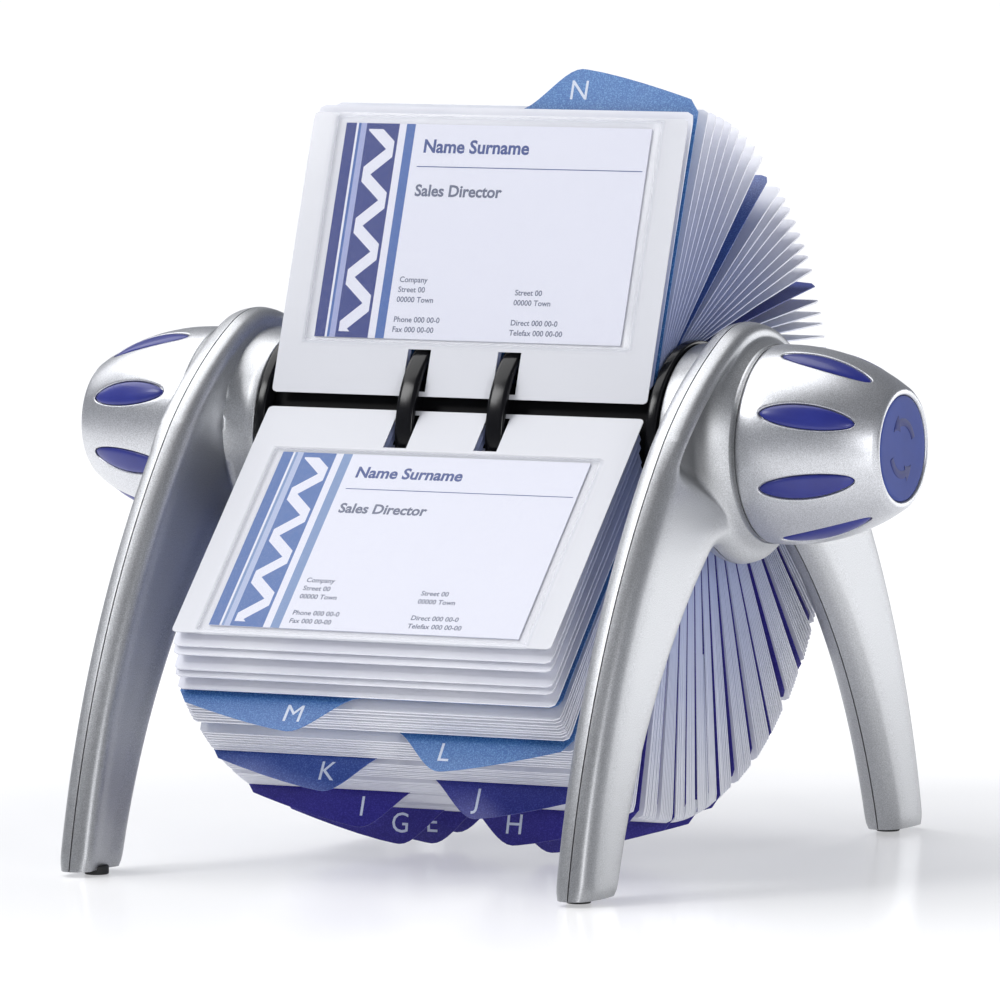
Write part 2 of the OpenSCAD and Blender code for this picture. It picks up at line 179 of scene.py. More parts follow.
class Finish:
    """A material under construction, around one Principled shader."""

    def __init__(self, name):
        self.material = bpy.data.materials.new(name)
        self.material.use_nodes = True
        self.tree = self.material.node_tree
        self.shader = self.tree.nodes["Principled BSDF"]

    def node(self, kind, settings=None, inputs=None, output=0):
        """Any node: its type, its settings, then what its sockets get."""
        made = self.tree.nodes.new(kind)
        for key, value in (settings or {}).items():
            setattr(made, key, value)
        self.feed(made, inputs or {})
        return Value(self, made.outputs[output])

    def feed(self, node, inputs):
        """Links a Value to a socket, or sets the socket to a plain number or colour."""
        for key, value in inputs.items():
            if isinstance(value, Value):
                self.tree.links.new(value.socket, node.inputs[key])
            else:
                node.inputs[key].default_value = value

    def place(self):
        """Where a point is on the object, in metres."""
        return self.node("ShaderNodeTexCoord", output="Object")

    def noise(self, scale, detail=3.0, rough=0.5, at=None):
        """Soft random cloud from 0 to 1 with `scale` lumps to the metre."""
        inputs = {"Scale": scale, "Detail": detail, "Roughness": rough}
        return self.node("ShaderNodeTexNoise", {}, {"Vector": at or self.place(), **inputs})

    def streaks(self, *scale):
        """Noise with its own number of lumps to the metre along x, y and z."""
        inputs = {"Vector": self.place(), "Scale": scale}
        return self.noise(1.0, at=self.node("ShaderNodeMapping", {}, inputs))

    def told(self, name, output="Fac"):
        """What `tell` stored on the piece under this name."""
        return self.node("ShaderNodeAttribute", {"attribute_name": name}, output=output)

    def x_and_y(self, vector):
        """The first two parts of a vector."""
        x = self.node("ShaderNodeSeparateXYZ", {}, {0: vector})
        return x, Value(self, x.socket.node.outputs["Y"])

    def step(self, value, low, high):
        """0 below low, 1 above high, a soft S between."""
        return self.node("ShaderNodeMapRange", {"interpolation_type": "SMOOTHSTEP"},
                         {"Value": value, "From Min": low, "From Max": high})

    def mix(self, share, a, b):
        """Colour a where share is 0 and colour b where it is 1; plain colours are RGB."""
        a, b = (c if isinstance(c, Value) else (*c, 1) for c in (a, b))
        return self.node("ShaderNodeMix", {"data_type": "RGBA"}, {0: share, 6: a, 7: b}, output=2)

    def bump(self, height, distance, strength):
        """A normal that leans as if the surface rose by height times distance, in metres."""
        inputs = {"Height": height, "Distance": distance, "Strength": strength}
        return self.node("ShaderNodeBump", {}, inputs)

    def done(self, **sockets):
        """Feeds the shader's sockets, named with _ for a space, and gives the material."""
        self.feed(self.shader, {k.replace("_", " "): v for k, v in sockets.items()})
        return self.material


# %% [markdown]
# ## The finishes
# Silver paint is a clear coat over tiny metal flakes. Each flake faces its own way, so the surface
# glitters in fine grains and the highlight is broad. Fine noise gives the grain, and a slower
# cloud gives the slight unevenness of sprayed paint.


# %% Silver paint
def silver_paint(name, tint, rough):
    """Metal flakes under a slow cloud; painted shade darkens it where the attribute is high."""
    f = Finish(name)
    grain, cloud = f.noise(4200, 2), f.noise(45, 3)
    flake = f.step(grain, 0.3, 0.72)
    # deep is the painted shade colour, a fifth of the tint.
    dark, light, deep = ([c * share for c in tint] for share in (0.72, 1.22, 0.2))
    colour = f.mix(f.told("hollow"), f.mix(flake * 0.8 + cloud * 0.2, dark, light), deep)
    return f.done(Base_Color=colour, Metallic=0.82, Roughness=rough + flake * 0.1 + cloud * 0.06,
                  Normal=f.bump(grain, 0.00002, 0.35))


stand_silver = silver_paint("stand_silver", (0.56, 0.57, 0.59), 0.33)
knob_silver = silver_paint("knob_silver", (0.63, 0.64, 0.67), 0.27)
print("silver paints ready")

# %% [markdown]
# The grips and caps are blue plastic with a satin skin, and the drum and rails are glossy black.
# Both need only a little texture: a fine spark-eroded grain on the blue, and faint smears on the
# black, which show in the gloss and not in the colour.


# %% Blue grips, black drum, rubber pads, bright steel, plain nylon
def moulded(name, deep, light, rough, grain_scale=2600, grain_height=0.00002, smear=0.1, **fixed):
    """Plastic or rubber: a fine grain in the normal and slow smears in the gloss."""
    f = Finish(name)
    grain, smears = f.noise(grain_scale, 2), f.noise(70, 4, 0.6)
    colour = f.mix(f.step(smears, 0.3, 0.7) * 0.6 + grain * 0.4, deep, light)
    return f.done(Base_Color=colour, Roughness=rough + smears * smear,
                  Normal=f.bump(grain, grain_height, 0.4), **fixed)


grip_blue = moulded("grip_blue", (0.016, 0.021, 0.2), (0.025, 0.036, 0.28), 0.32,
                    Coat_Weight=0.15)
cap_blue = moulded("cap_blue", (0.032, 0.054, 0.25), (0.05, 0.082, 0.33), 0.42,
                   Specular_IOR_Level=0.16)
mark_blue = moulded("mark_blue", (0.012, 0.02, 0.14), (0.02, 0.032, 0.19), 0.36,
                    Specular_IOR_Level=0.2)
gloss_black = moulded("gloss_black", (0.003, 0.003, 0.004), (0.008, 0.008, 0.01), 0.12, 900,
                      0.000004, 0.14, Specular_IOR_Level=0.26)
drum_black = moulded("drum_black", (0.002, 0.002, 0.003), (0.005, 0.005, 0.006), 0.5, 1200,
                     0.00001, 0.1, Specular_IOR_Level=0.15)
pad_black = moulded("pad_black", (0.01, 0.01, 0.01), (0.022, 0.022, 0.022), 0.6, 1800, 0.00004)
nylon_white = moulded("nylon_white", (0.6, 0.59, 0.55), (0.7, 0.69, 0.65), 0.45)


def turned_steel(name, tint):
    """Turned steel: very fine rings along the axle, from a noise squeezed along X."""
    f = Finish(name)
    rings = f.streaks(9000, 30, 30)
    colour = f.mix(rings, [c * 0.8 for c in tint], tint)
    return f.done(Base_Color=colour, Metallic=1.0, Roughness=0.22 + rings * 0.14,
                  Normal=f.bump(rings, 0.00001, 0.3))


axle_steel = turned_steel("axle_steel", (0.62, 0.61, 0.6))
hardware_steel = turned_steel("hardware_steel", (0.5, 0.5, 0.5))
print("plastics and steels ready")

# %% [markdown]
# A pocket is folded from frosted film, nearly clear by itself but white when many lie together.
# The pockets in the stack are white with a touch of lavender, and painted shade makes them bluer
# near the drum. The two pockets that hold cards are see-through in front of the card and frosted
# behind it and along their welds.


# %% Films: frosted stack film and the clear pockets
def stack_film():
    """Frosted film with milky clouds and fine scratches, and a painted blue shade by the drum."""
    f = Finish("stack_film")
    milk, scratch = f.noise(38, 3), f.streaks(2500, 160, 160)
    colour = f.mix(f.step(milk, 0.3, 0.7), (0.82, 0.83, 0.91), (0.89, 0.90, 0.96))
    # Painted shade: darker and bluer towards the drum, as if lit through the blue dividers.
    colour = f.mix(f.told("depth"), colour, (0.4, 0.47, 0.76))
    return f.done(Base_Color=colour, Roughness=0.28 + scratch * 0.2,
                  Normal=f.bump(scratch, 0.000015, 0.3))


def clear_film():
    """Clear film: alpha rises to white along the welds; the attribute `weld` is 1 there."""
    f = Finish("clear_film")
    weld, haze, ripple = f.told("weld"), f.noise(30, 3), f.noise(24, 2)
    return f.done(Base_Color=f.mix(weld, (0.80, 0.81, 0.87), (0.88, 0.89, 0.94)),
                  Alpha=0.01 + haze * 0.02 + weld * 0.76, Roughness=0.08 + haze * 0.1,
                  Normal=f.bump(ripple, 0.0003, 0.2), Specular_IOR_Level=0.25)


film_white, film_clear = stack_film(), clear_film()


# %% Divider film: speckled blue, with painted shade deeper on the sheets lower in the stack
def divider_film():
    """Dyed film with a fine speckle; a stored painted shade mixes lit sky blue to shaded indigo.
    """
    f = Finish("divider_film")
    speckle, cloud = f.noise(3000, 2), f.noise(50, 3)
    fleck = f.step(speckle, 0.42, 0.72)
    # A lit and a painted shaded copy of one speckled blue: sky blue, and indigo for the shaded
    # sheets.
    lit_blue = f.mix(fleck, (0.035, 0.14, 0.42), (0.13, 0.33, 0.63))
    deep = f.mix(fleck, (0.024, 0.018, 0.22), (0.055, 0.045, 0.36))
    return f.done(Base_Color=f.mix(f.told("depth"), lit_blue, deep), Roughness=0.34 + cloud * 0.14,
                  Normal=f.bump(speckle, 0.00003, 0.4))


divider_blue = divider_film()
ink_pale = moulded("ink_pale", (0.62, 0.68, 0.83), (0.72, 0.78, 0.9), 0.45)
print("films ready")

# %% [markdown]
# ## Shapes that turn round the axle
# Drum, rails, flanges, knobs and caps are turned shapes: a profile of (distance along the axle,
# radius) swept round the axle. Every moulded or turned edge has a small radius that catches the
# light, so `rounded` cuts each corner with a short curve.


# %% Profiles and the sweep round the axle
def rounded(profile, radius, closed=True, steps=4):
    """Each corner becomes a quadratic curve: (1-t)^2 start + 2t(1-t) corner + t^2 end."""
    p = np.array(profile, float)
    r = np.broadcast_to(radius, len(p))
    t = np.linspace(0, 1, steps + 1)[:, None]
    out = []
    for i, here in enumerate(p):
        before, after = p[i - 1] - here, p[(i + 1) % len(p)] - here
        if r[i] == 0 or (not closed and i in (0, len(p) - 1)):
            out.append(here[None])
            continue
        a = here + before * min(r[i] / np.hypot(*before), 0.49)
        b = here + after * min(r[i] / np.hypot(*after), 0.49)
        out.append((1 - t) ** 2 * a + 2 * t * (1 - t) * here + t ** 2 * b)
    out = np.concatenate(out)
    return np.concatenate([out, out[:1]]) if closed else out


def turned(profile, x=0.0, hand=1, angles=np.linspace(0, 2 * math.pi, 128, endpoint=False)):
    """Profile point (u, r) goes to (hand (x + u), r cos angle, axle height + r sin angle)."""
    p = np.array(profile, float)
    along = np.broadcast_to((hand * (x + p[:, 0]))[:, None], (len(p), len(angles)))
    y, z = p[:, 1][:, None] * np.cos(angles), axle_h + p[:, 1][:, None] * np.sin(angles)
    return grid(np.stack([along, y, z], -1), wrap=True)


# %% Drum, flanges and rails
drum_low, drum_high = corners("drum")
drum_r = (drum_high[2] - drum_low[2]) / 2
drum_box = [[drum_low[0], drum_r - 2], [drum_low[0], drum_r], [drum_high[0], drum_r],
            [drum_high[0], drum_r - 2]]
make("drum_skin", [turned(rounded(drum_box, 0.5))], drum_black, "wheel", ["drum"])
for side, hand in sides:
    low, high = corners(f"{side}_flange")
    flange_r, flange_out = (high[2] - low[2]) / 2, max(abs(low[0]), abs(high[0]))
    disc = [[-2.7, 0], [-2.7, flange_r], [0, flange_r], [0, 17], [-0.7, 16], [-0.7, 10.4],
            [0, 9.4], [0, 0]]
    make(f"{side}_flange_skin", [turned(rounded(disc, 0.6, False), flange_out, hand)],
         gloss_black, "wheel", [f"{side}_flange"])
    low, high = corners(f"{side}_rail")
    rail_r, rail_mid = (high[2] - low[2]) / 2, (low[0] + high[0]) / 2
    tee = [[-1.3, drum_r], [-1.3, rail_r - 1.8], [-2.5, rail_r - 1.8], [-2.5, rail_r],
           [2.5, rail_r], [2.5, rail_r - 1.8], [1.3, rail_r - 1.8], [1.3, drum_r]]
    make(f"{side}_rail_skin",
         [turned(rounded(tee, [0, 0.3, 0.6, 1.1, 1.1, 0.6, 0.3, 0]), rail_mid)],
         gloss_black, "wheel", [f"{side}_rail"])

# %% [markdown]
# ## The stands
# Each stand is a pair of shells that meet in the middle, where a fine parting line shows. Seen
# from the side it is a hub with two legs. The hub is a band of spokes from the collar's circle out
# to the outline, and each leg is a strip between two curves. Both share the points of one root
# line, so they merge. How far the shell stands out depends mostly on the distance to the outline:
# it rises like a quarter circle at every edge.

# %% The stand's outline
hub_r, collar_r, inner_boss_r, bore_r = 29.6, 24.4, 24.0, 7.0
foot_z, foot_reach, foot_w = 1.3, 95.5, 20.2
shoulder, arch_top = (44.2, axle_h + 3.4), (25.8, axle_h - 25.7)


def arc(p, q, turn, n):
    """n steps from p to q on a circle, turning right by `turn` degrees on the way."""
    p, q, half = np.array(p, float), np.array(q, float), math.radians(turn) / 2
    chord = q - p
    radius, start = np.hypot(*chord) / (2 * math.sin(half)), math.atan2(chord[1], chord[0]) + half
    heading = start - 2 * half * np.arange(n + 1) / n
    return p + radius * np.stack([math.sin(start) - np.sin(heading),
                                  np.cos(heading) - math.cos(start)], -1)


def hub_arc(start, end, n):
    """Points of the hub's circle between two angles in degrees."""
    a = np.radians(np.linspace(start, end, n + 1))
    return np.stack([hub_r * np.cos(a), axle_h + hub_r * np.sin(a)], -1)


top_run = hub_arc(90, 63, 14)
neck_run = arc(top_run[-1], shoulder, 20, 14)
leg_out = arc(shoulder, (foot_reach, foot_z), 30, 72)
leg_in = arc((foot_reach - foot_w, foot_z), arch_top, -33, 72)[::-1]
under_run = hub_arc(-58, -90, 14)
arch_run = arc(arch_top, under_run[0], -73, 14)
gather = (1 - np.cos(np.pi * np.linspace(0, 1, 27))) / 2
root = leg_out[0] + (leg_in[0] - leg_out[0]) * gather[:, None]
half_rim = np.concatenate([top_run[:-1], neck_run[:-1], root[:-1], arch_run[:-1], under_run])
rim_loop = np.concatenate([half_rim, (half_rim * [-1, 1])[-2:0:-1]])
rim_angles = np.arctan2(rim_loop[:, 1] - axle_h, rim_loop[:, 0])
print("outline of", len(rim_loop), "points round the hub")


# %% Distance to the outline, and the height of each shell
leg_high, leg_crown, rim_high, web_sunk, flare_high, flare_wide = 4.2, 0.6, 4.3, 3.7, 7.2, 6.8


def edge_distance(y, z):
    """Distance of every point to the outline, with the legs run on below."""
    below = np.array([[1.6, -8.0], [2.7, -8.0]])
    runs = [top_run, neck_run, np.vstack([leg_out, leg_out[-1] + below[0]]),
            np.vstack([leg_in, leg_in[-1] + below[1]]), arch_run, under_run]
    a = np.concatenate([r[:-1] for r in runs])
    b = np.concatenate([r[1:] for r in runs])
    p = np.stack([np.abs(y).ravel(), z.ravel()], -1)[:, None]
    t = np.clip(((p - a) * (b - a)).sum(-1) / ((b - a) ** 2).sum(-1), 0, 1)
    return np.sqrt(((p - a - t[..., None] * (b - a)) ** 2).sum(-1)).min(1).reshape(y.shape)


def soft_max(a, b, soft):
    """The larger of two heights, with their crossing blended."""
    return (a + b + np.sqrt((a - b) ** 2 + soft ** 2)) / 2


def below_web(y, z):
    """Distance below the slanting line where the sunk web gives way to the leg."""
    return ((np.abs(y) - 24.5) * 0.423 - 12 - (z - axle_h)) / 1.086


def outer_height(y, z):
    """Rim, sunk web, leg body and flared collar, blended, from the parting plane out."""
    d, r = edge_distance(y, z), np.hypot(y, z - axle_h)
    leg = leg_high * quarter(d, 4.4) + leg_crown * smooth(d / 9)
    rim = rim_high * quarter(d, 2.6) - web_sunk * smooth((d - 2.9) / 3.6)
    body = rim + (leg - rim) * smooth(below_web(y, z) / 7 + 0.55)
    flare = flare_high * np.clip(1 - (r - collar_r) / flare_wide, 0, 1) ** 1.7
    return soft_max(body, flare, 1.3) * quarter(d, 0.8)


def web_depth(y, z):
    """Painted shade in the sunk web: 0.8 between rim, collar and leg, 0 outside it."""
    d, r = edge_distance(y, z), np.hypot(y, z - axle_h)
    inside = smooth((d - 2.6) / 3) * smooth((r - collar_r - 0.5) / 3.5)
    return 0.8 * inside * (1 - smooth(below_web(y, z) / 8 + 0.7)) * smooth((z - axle_h + 32) / 8)


def painted_foot_shade(z):
    """Painted shade towards the feet: 0 from 62 mm up, 0.3 near the floor."""
    return 0.3 * smooth((62 - z) / 58)


def inner_height(y, z):
    """A plain shell: rounded edges, a slightly sunk face and a small flare to the boss."""
    d, r = edge_distance(y, z), np.hypot(y, z - axle_h)
    face = 4.5 * quarter(d, 3.4) - 0.7 * smooth((d - 3) / 6)
    flare = 9.6 * np.clip(1 - (r - inner_boss_r) / 3.2, 0, 1) ** 3
    return soft_max(face, flare, 0.6) * quarter(d, 0.6)


# %% Both shells of a stand
parting, foot_rounding = 0.16, np.array([[0.04], [0.2], [0.6]])
frame_x = corners("right_frame_inner")[1][0] + 0.05


def shell(hand, way, r0, height, collar):
    """Hub, legs, foot ends, collar and the flat back at the parting plane, as patches."""
    share = ((1 - np.cos(np.pi * np.linspace(0, 1, 25))) / 2)[:, None, None]
    ring = np.stack([r0 * np.cos(rim_angles), axle_h + r0 * np.sin(rim_angles)], -1)
    hub = ring + (rim_loop - ring) * share
    across = gather[None, :, None]
    leg = leg_out[:, None] + (leg_in - leg_out)[:, None] * across
    left_leg = leg * [-1, 1]

    def raised(flat, out):
        """(y, z) and a height out from the parting plane, as points of this stand."""
        x = hand * (frame_x + way * np.broadcast_to(parting + out, flat.shape[:2]))
        return np.stack([x, flat[..., 0], flat[..., 1]], -1)

    patches = [grid(raised(hub, out), True) for out in (height(hub[..., 0], hub[..., 1]), 0)]
    for flat in (leg, left_leg):
        out = height(flat[..., 0], flat[..., 1])
        near_edge = quarter(edge_distance(flat[-3:, :, 0], flat[-3:, :, 1]), 1.5)
        out[-3:] -= foot_rounding * near_edge
        patches += [grid(raised(flat, out)), grid(raised(flat, 0))]
        end = np.broadcast_to(flat[-1], (4,) + flat[-1].shape)
        patches.append(grid(raised(end, out[-1] * np.linspace(1, 0, 4)[:, None])))
    start = height(ring[:, 0], ring[:, 1]).mean()
    top = np.array([[start, r0], *collar, [collar[-1][0], bore_r], [0, bore_r], [0, r0]])
    x, y = way * (parting + top[:, 0]), top[:, 1]
    patches.append(turned(np.stack([x, y], -1), frame_x, hand, rim_angles))
    return patches


seam_out = seam_x - frame_x - parting
boss_out = frame_x - boss_x - parting
outer_collar = [[7.9, 24.4], [8.8, 24.4], [seam_out - 0.5, 24.4], [seam_out - 0.2, 24.3],
                [seam_out - 0.05, 24.1], [seam_out, 23.8]]
inner_collar = [[boss_out - 0.4, 24.0], [boss_out - 0.1, 23.85], [boss_out, 23.5]]
for side, hand in sides:
    outer = make(f"{side}_stand_outer", shell(hand, 1, collar_r, outer_height, outer_collar),
                 stand_silver, "stand", [f"{side}_frame_outer"], 50)
    _, y, z = places(outer).T
    # Painted shade: the paint colour darkens in the sunk web and towards the feet.
    tell(outer, "hollow", np.maximum(web_depth(y, z), painted_foot_shade(z)))
    inner = make(f"{side}_stand_inner", shell(hand, -1, inner_boss_r, inner_height, inner_collar),
                 stand_silver, "stand", [f"{side}_frame_inner"], 50)
    # Painted shade towards the feet on the inner shell too.
    tell(inner, "hollow", painted_foot_shade(places(inner)[:, 2]))

# %% [markdown]
# Four small rubber pads peg into the feet. They are turned too, but round upright axes.


# %% Foot pads
def upright(profile, x, y):
    """Profile point (z, r) swept round the upright line through (x, y)."""
    p, a = np.array(profile, float), np.linspace(0, 2 * math.pi, 40, endpoint=False)
    px, py = x + p[:, 1][:, None] * np.cos(a), y + p[:, 1][:, None] * np.sin(a)
    return grid(np.stack([px, py, np.broadcast_to(p[:, 0][:, None], px.shape)], -1), wrap=True)


_, pad_high = corners("foot_pads")
pad_r = 3
pad_x, pad_y, pad_top = pad_high - [pad_r, pad_r, 0]
pad_profile = rounded([[0, 0], [0, pad_r], [pad_top, pad_r], [pad_top, 0]], 0.45, False)
make("foot_pad_set",
     [upright(pad_profile, x, y) for x in (-pad_x, pad_x) for y in (-pad_y, pad_y)], pad_black,
     "stand", ["foot_pads"])

# %% [markdown]
# ## The knobs
# A knob is a barrel that narrows to its cap, with eight lens-shaped recesses for the blue grips.
# In each of eight sectors, rings of points lead from the lens out to the sector's four sides, so
# the faces follow the recess and its edge can be rounded with two or three rows.

# %% Knob profile and the lens
grip_start, grip_len, grip_w, grips = 5.6, 23.0, 6.6, 8
lens_mid = grip_start + grip_len / 2
x_low, x_high, barrel_r, seam_band = 1.6, knob_len - 2.3, 52.75, 3.3


def knob_radius(x):
    """A straight seam band, then a large circle that narrows towards the cap."""
    return collar_r - barrel_r + np.sqrt(barrel_r ** 2 - np.clip(x - seam_band, 0, None) ** 2)


def lens(angle, inset=0.0):
    """Lens outline: an ellipse made slimmer towards its tips."""
    along = (grip_len / 2 - inset) * np.cos(angle)
    side = (grip_w / 2 - inset) * np.sin(angle) * np.sqrt(1 - 0.25 * np.cos(angle) ** 2)
    return np.stack([lens_mid + along, side / knob_radius(lens_mid + along)], -1)


def on_knob(chart, rise, k, hand):
    """Chart point (x, angle) of sector k, raised by `rise`, as a point of one knob."""
    x, a = chart[..., 0], chart[..., 1] + (k + 0.5) * 2 * math.pi / grips
    r = knob_radius(x) + rise
    return np.stack([hand * (knob_x + x), r * np.cos(a), axle_h + r * np.sin(a)], -1)


long_a, short_a = np.radians(np.linspace(28, 152, 17)), np.radians(np.linspace(152, 208, 13))
lens_a = np.concatenate([long_a[:-1], short_a[:-1], long_a[:-1] + math.pi,
                         short_a[:-1] + math.pi])
side_x = lens_mid + (x_high - lens_mid) * np.cos(long_a) / np.cos(long_a[0])
side_x = np.where(side_x < lens_mid, lens_mid - (lens_mid - x_low) * (lens_mid - side_x)
                  / (x_high - lens_mid), side_x)
end_a = np.linspace(math.pi / grips, -math.pi / grips, 13)
frame_loop = np.concatenate([
    np.stack([side_x, np.full(17, math.pi / grips)], -1)[:-1],
    np.stack([np.full(13, x_low), end_a], -1)[:-1],
    np.stack([side_x[::-1], np.full(17, -math.pi / grips)], -1)[:-1],
    np.stack([np.full(13, x_high), -end_a], -1)[:-1]])
print("a sector has", len(frame_loop), "points round its lens")


# %% Knob skins
def knob_skin(hand):
    """Eight sectors with their recesses, then the seam edge and the rim round the cap."""
    patches = []
    share = np.array([0, 0.012, 0.03, 0.06, 0.12, 0.25, 0.45, 0.7, 1.0])[:, None, None]
    edge = lens(lens_a)
    skin = edge + (frame_loop - edge) * share
    drop = -0.4 * (1 - quarter(share[..., 0], 0.06))
    centre = np.array([lens_mid, 0.0])
    floor = centre + (edge - centre) * np.array([1, 0.85, 0.5, 0])[:, None, None]
    wall = np.broadcast_to(edge, (3,) + edge.shape)
    for k in range(grips):
        patches += [grid(on_knob(skin, drop, k, hand), True),
                    grid(on_knob(wall, np.array([[-0.4], [-0.7], [-1.0]]), k, hand), True),
                    grid(on_knob(floor, -1.0, k, hand), True)]
    angles = (np.arange(12 * grips) + 0.5 * 12) * 2 * math.pi / (12 * grips)
    seam = [[x_low, collar_r], [0.9, collar_r], [0.4, 24.3], [0.12, 24.1], [0, 23.8], [0, 0]]
    tail = np.array([x_high, knob_len - 1.6, knob_len - 1.05])
    rim = [[knob_len - 0.6, 14.75], [knob_len - 0.25, 14.5], [knob_len - 0.06, 14.15],
           [knob_len, 13.8], [knob_len - 0.02, 13.5], [knob_len - 0.15, 13.22],
           [knob_len - 0.45, 13.06], [knob_len - 1.8, 13.0], [knob_len - 1.8, 0]]
    rim = np.concatenate([np.stack([tail, knob_radius(tail)], -1), rim])
    return patches + [turned(seam, knob_x, hand, angles), turned(rim, knob_x, hand, angles)]


def knob_grips(hand):
    """Domed lens inlays, a hair smaller than their recesses."""
    t = np.array([0, 0.25, 0.5, 0.7, 0.83, 0.92, 0.97, 1.0])[:, None, None]
    centre, edge = np.array([lens_mid, 0.0]), lens(lens_a, 0.24)
    face = centre + (edge - centre) * t
    rise = -0.45 + 0.72 * np.sqrt(1 - t[..., 0] ** 3)
    back = centre + (edge - centre) * t[::-1][[0, 3, 7]]
    wall = np.broadcast_to(edge, (2,) + edge.shape)
    return [p for k in range(grips) for p in (
        grid(on_knob(face, rise, k, hand), True),
        grid(on_knob(wall, np.array([[-0.45], [-0.93]]), k, hand), True),
        grid(on_knob(back, -0.93, k, hand), True))]


for side, hand in sides:
    make(f"{side}_knob_skin", knob_skin(hand), knob_silver, "wheel",
         [f"{side}_knob"], 50)
    make(f"{side}_grip_inlays", knob_grips(hand), grip_blue, "wheel",
         [f"{side}_knob_grips"], 50)

# %% [markdown]
# A blue cap closes each knob. Raised marks show that the knob turns: two curved arrows, each a
# ribbon along an arc whose half width swells into an arrowhead and then falls to nothing.

# %% Caps and turning marks
cap_low, cap_high = corners("right_knob_cap")
cap_x, cap_t = cap_low[0], cap_high[0] - cap_low[0]
cap_profile = [[0, 0], [0, 12.6], [0.3, 12.9], [cap_t - 0.5, 12.9], [cap_t - 0.2, 12.8],
               [cap_t - 0.04, 12.5], [cap_t, 12.0], [cap_t - 0.06, 10.5], [cap_t - 0.14, 7],
               [cap_t - 0.18, 3], [cap_t - 0.18, 0]]
arrow_r, arrow_turn = 6.4, 118


def turning_arrow(hand, start):
    """Ribbon on an arc: (along, across) to (angle, radius), lightly domed."""
    u = np.concatenate([[0, 0], np.linspace(0, 0.72, 16), np.linspace(0.72, 1, 9)])
    w = np.concatenate([[0, 0.8], np.full(16, 0.95), np.linspace(2.1, 0, 9)])
    across = np.array([-1, -1, -0.8, 0.8, 1, 1])
    up = np.array([-0.3, 0.03, 0.1, 0.1, 0.03, -0.3])
    a = math.radians(start) + math.radians(arrow_turn) * u
    r = arrow_r + w[:, None] * across
    x = np.broadcast_to(hand * (cap_x + cap_t - 0.13 + up), r.shape)
    y, z = hand * r * np.cos(a)[:, None], axle_h + r * np.sin(a)[:, None]
    return grid(np.stack([x, y, z], -1), wrap=True)


for side, hand in sides:
    make(f"{side}_cap_disc", [turned(cap_profile, cap_x, hand)], cap_blue, "wheel",
         [f"{side}_knob_cap"])
    make(f"{side}_cap_arrows", [turning_arrow(hand, 20), turning_arrow(hand, 200)], mark_blue,
         "wheel")

# %% [markdown]
# ## The sheets
# A sheet is a thin slab on a small grid of columns and rows, with two slots that hook over the
# rails. Cells inside the slots are left out, and a wall closes the slab wherever a kept cell has
# no kept neighbour. Local coordinates are (x, s, t): s runs out from the inner edge and t across
# the film. `hang` puts them on the wheel from two angles, the place of the inner edge and the lean
# of the sheet. Film is limp, so sheets that lie flat sag a little.

# %% Places round the ring
letters = [*"abcdefghijklmnopqrstuvw", "xy", "z"]
page_half, pocket_h, divider_h, tab_h = (corners("top_pocket")[1][0], 72.0, 70.0, 11.0)
ring_r = drum_r + 1.3
open_r = ring_r + 2.05
slot_h, slot_half, neck_half, neck_h, rail_x = 11.9, 3.2, 1.65, 1.2, 12.5
top_place, bottom_place = (25.5, 108.4), (376.3, 313.9)
lean_at, lean_to = np.array([
    [39, 109], [68, 143], [92, 165], [114, 183], [150, 206], [199, 236], [237, 262], [276, 274],
    [302, 291], [322, 304], [336, 314.3]]).T
turn = np.arange(39, 337)
room = ring_r * np.cos(np.radians(np.interp(turn, lean_at, lean_to) - turn)) * math.pi / 180
room = np.concatenate([[0], np.cumsum(room)[:-1]])
sheets_each, ring_count = 9, 217


def ring_place(k):
    """Place and lean of sheet k, at equal room for each sheet, from divider n to m."""
    a = np.interp(room[-1] * np.array(k) / (ring_count - 1), room, turn)
    return a, np.interp(a, lean_at, lean_to)


def ring_index(letter):
    """Divider n hangs first, m last, with eight pockets behind each."""
    return (letters.index(letter) - letters.index("n")) % len(letters) * sheets_each


def hang(x, s, t, r, place, sag=1.5):
    """Local (x, s, t) to the wheel: out along the lean, sagging with s squared."""
    a, lean = np.radians(place[0]), np.radians(place[1])
    t = t + sag * np.cos(lean) * (s / pocket_h) ** 2
    y = -r * np.cos(a) - s * np.cos(lean) - t * np.sin(lean)
    z = axle_h + r * np.sin(a) + s * np.sin(lean) - t * np.cos(lean)
    return np.stack([np.broadcast_to(x, y.shape), y, z], -1)


def slab_faces(keep):
    """Front and back of every kept cell, and a wall where no kept neighbour is."""
    wide, count = keep.shape[1] + 1, (keep.shape[0] + 1) * (keep.shape[1] + 1)
    i, j = np.nonzero(keep)
    corner = i * wide + j
    cell = np.stack([corner, corner + 1, corner + wide + 1, corner + wide], -1)
    faces, around = [cell, cell[:, ::-1] + count], np.pad(keep, 1)
    for di, dj, p, q in ((-1, 0, 0, 1), (0, 1, 1, 2), (1, 0, 2, 3), (0, -1, 3, 0)):
        e = cell[~around[i + 1 + di, j + 1 + dj]]
        faces.append(np.stack([e[:, q], e[:, p], e[:, p] + count, e[:, q] + count], -1))
    return np.concatenate(faces)


def kept(xs, ss, neck=True):
    """Cells that are film: not in a slot, nor in its narrow neck at the inner edge."""
    x, s = np.abs((xs[1:] + xs[:-1]) / 2) - rail_x, (ss[1:] + ss[:-1]) / 2
    half = np.where(neck & (s < neck_h), neck_half, slot_half)
    return ~((np.abs(x) < half[:, None]) & (s < slot_h)[:, None])


def page_grid(xs, ss, height, corner=2.5):
    """x and s of every grid point; the outer columns draw in round the corners."""
    s, x = np.meshgrid(ss, xs, indexing="ij")
    off = corner * (1 - quarter(np.minimum(ss, height - ss), corner))
    x[:, 0] += off
    x[:, -1] -= off
    return x, s


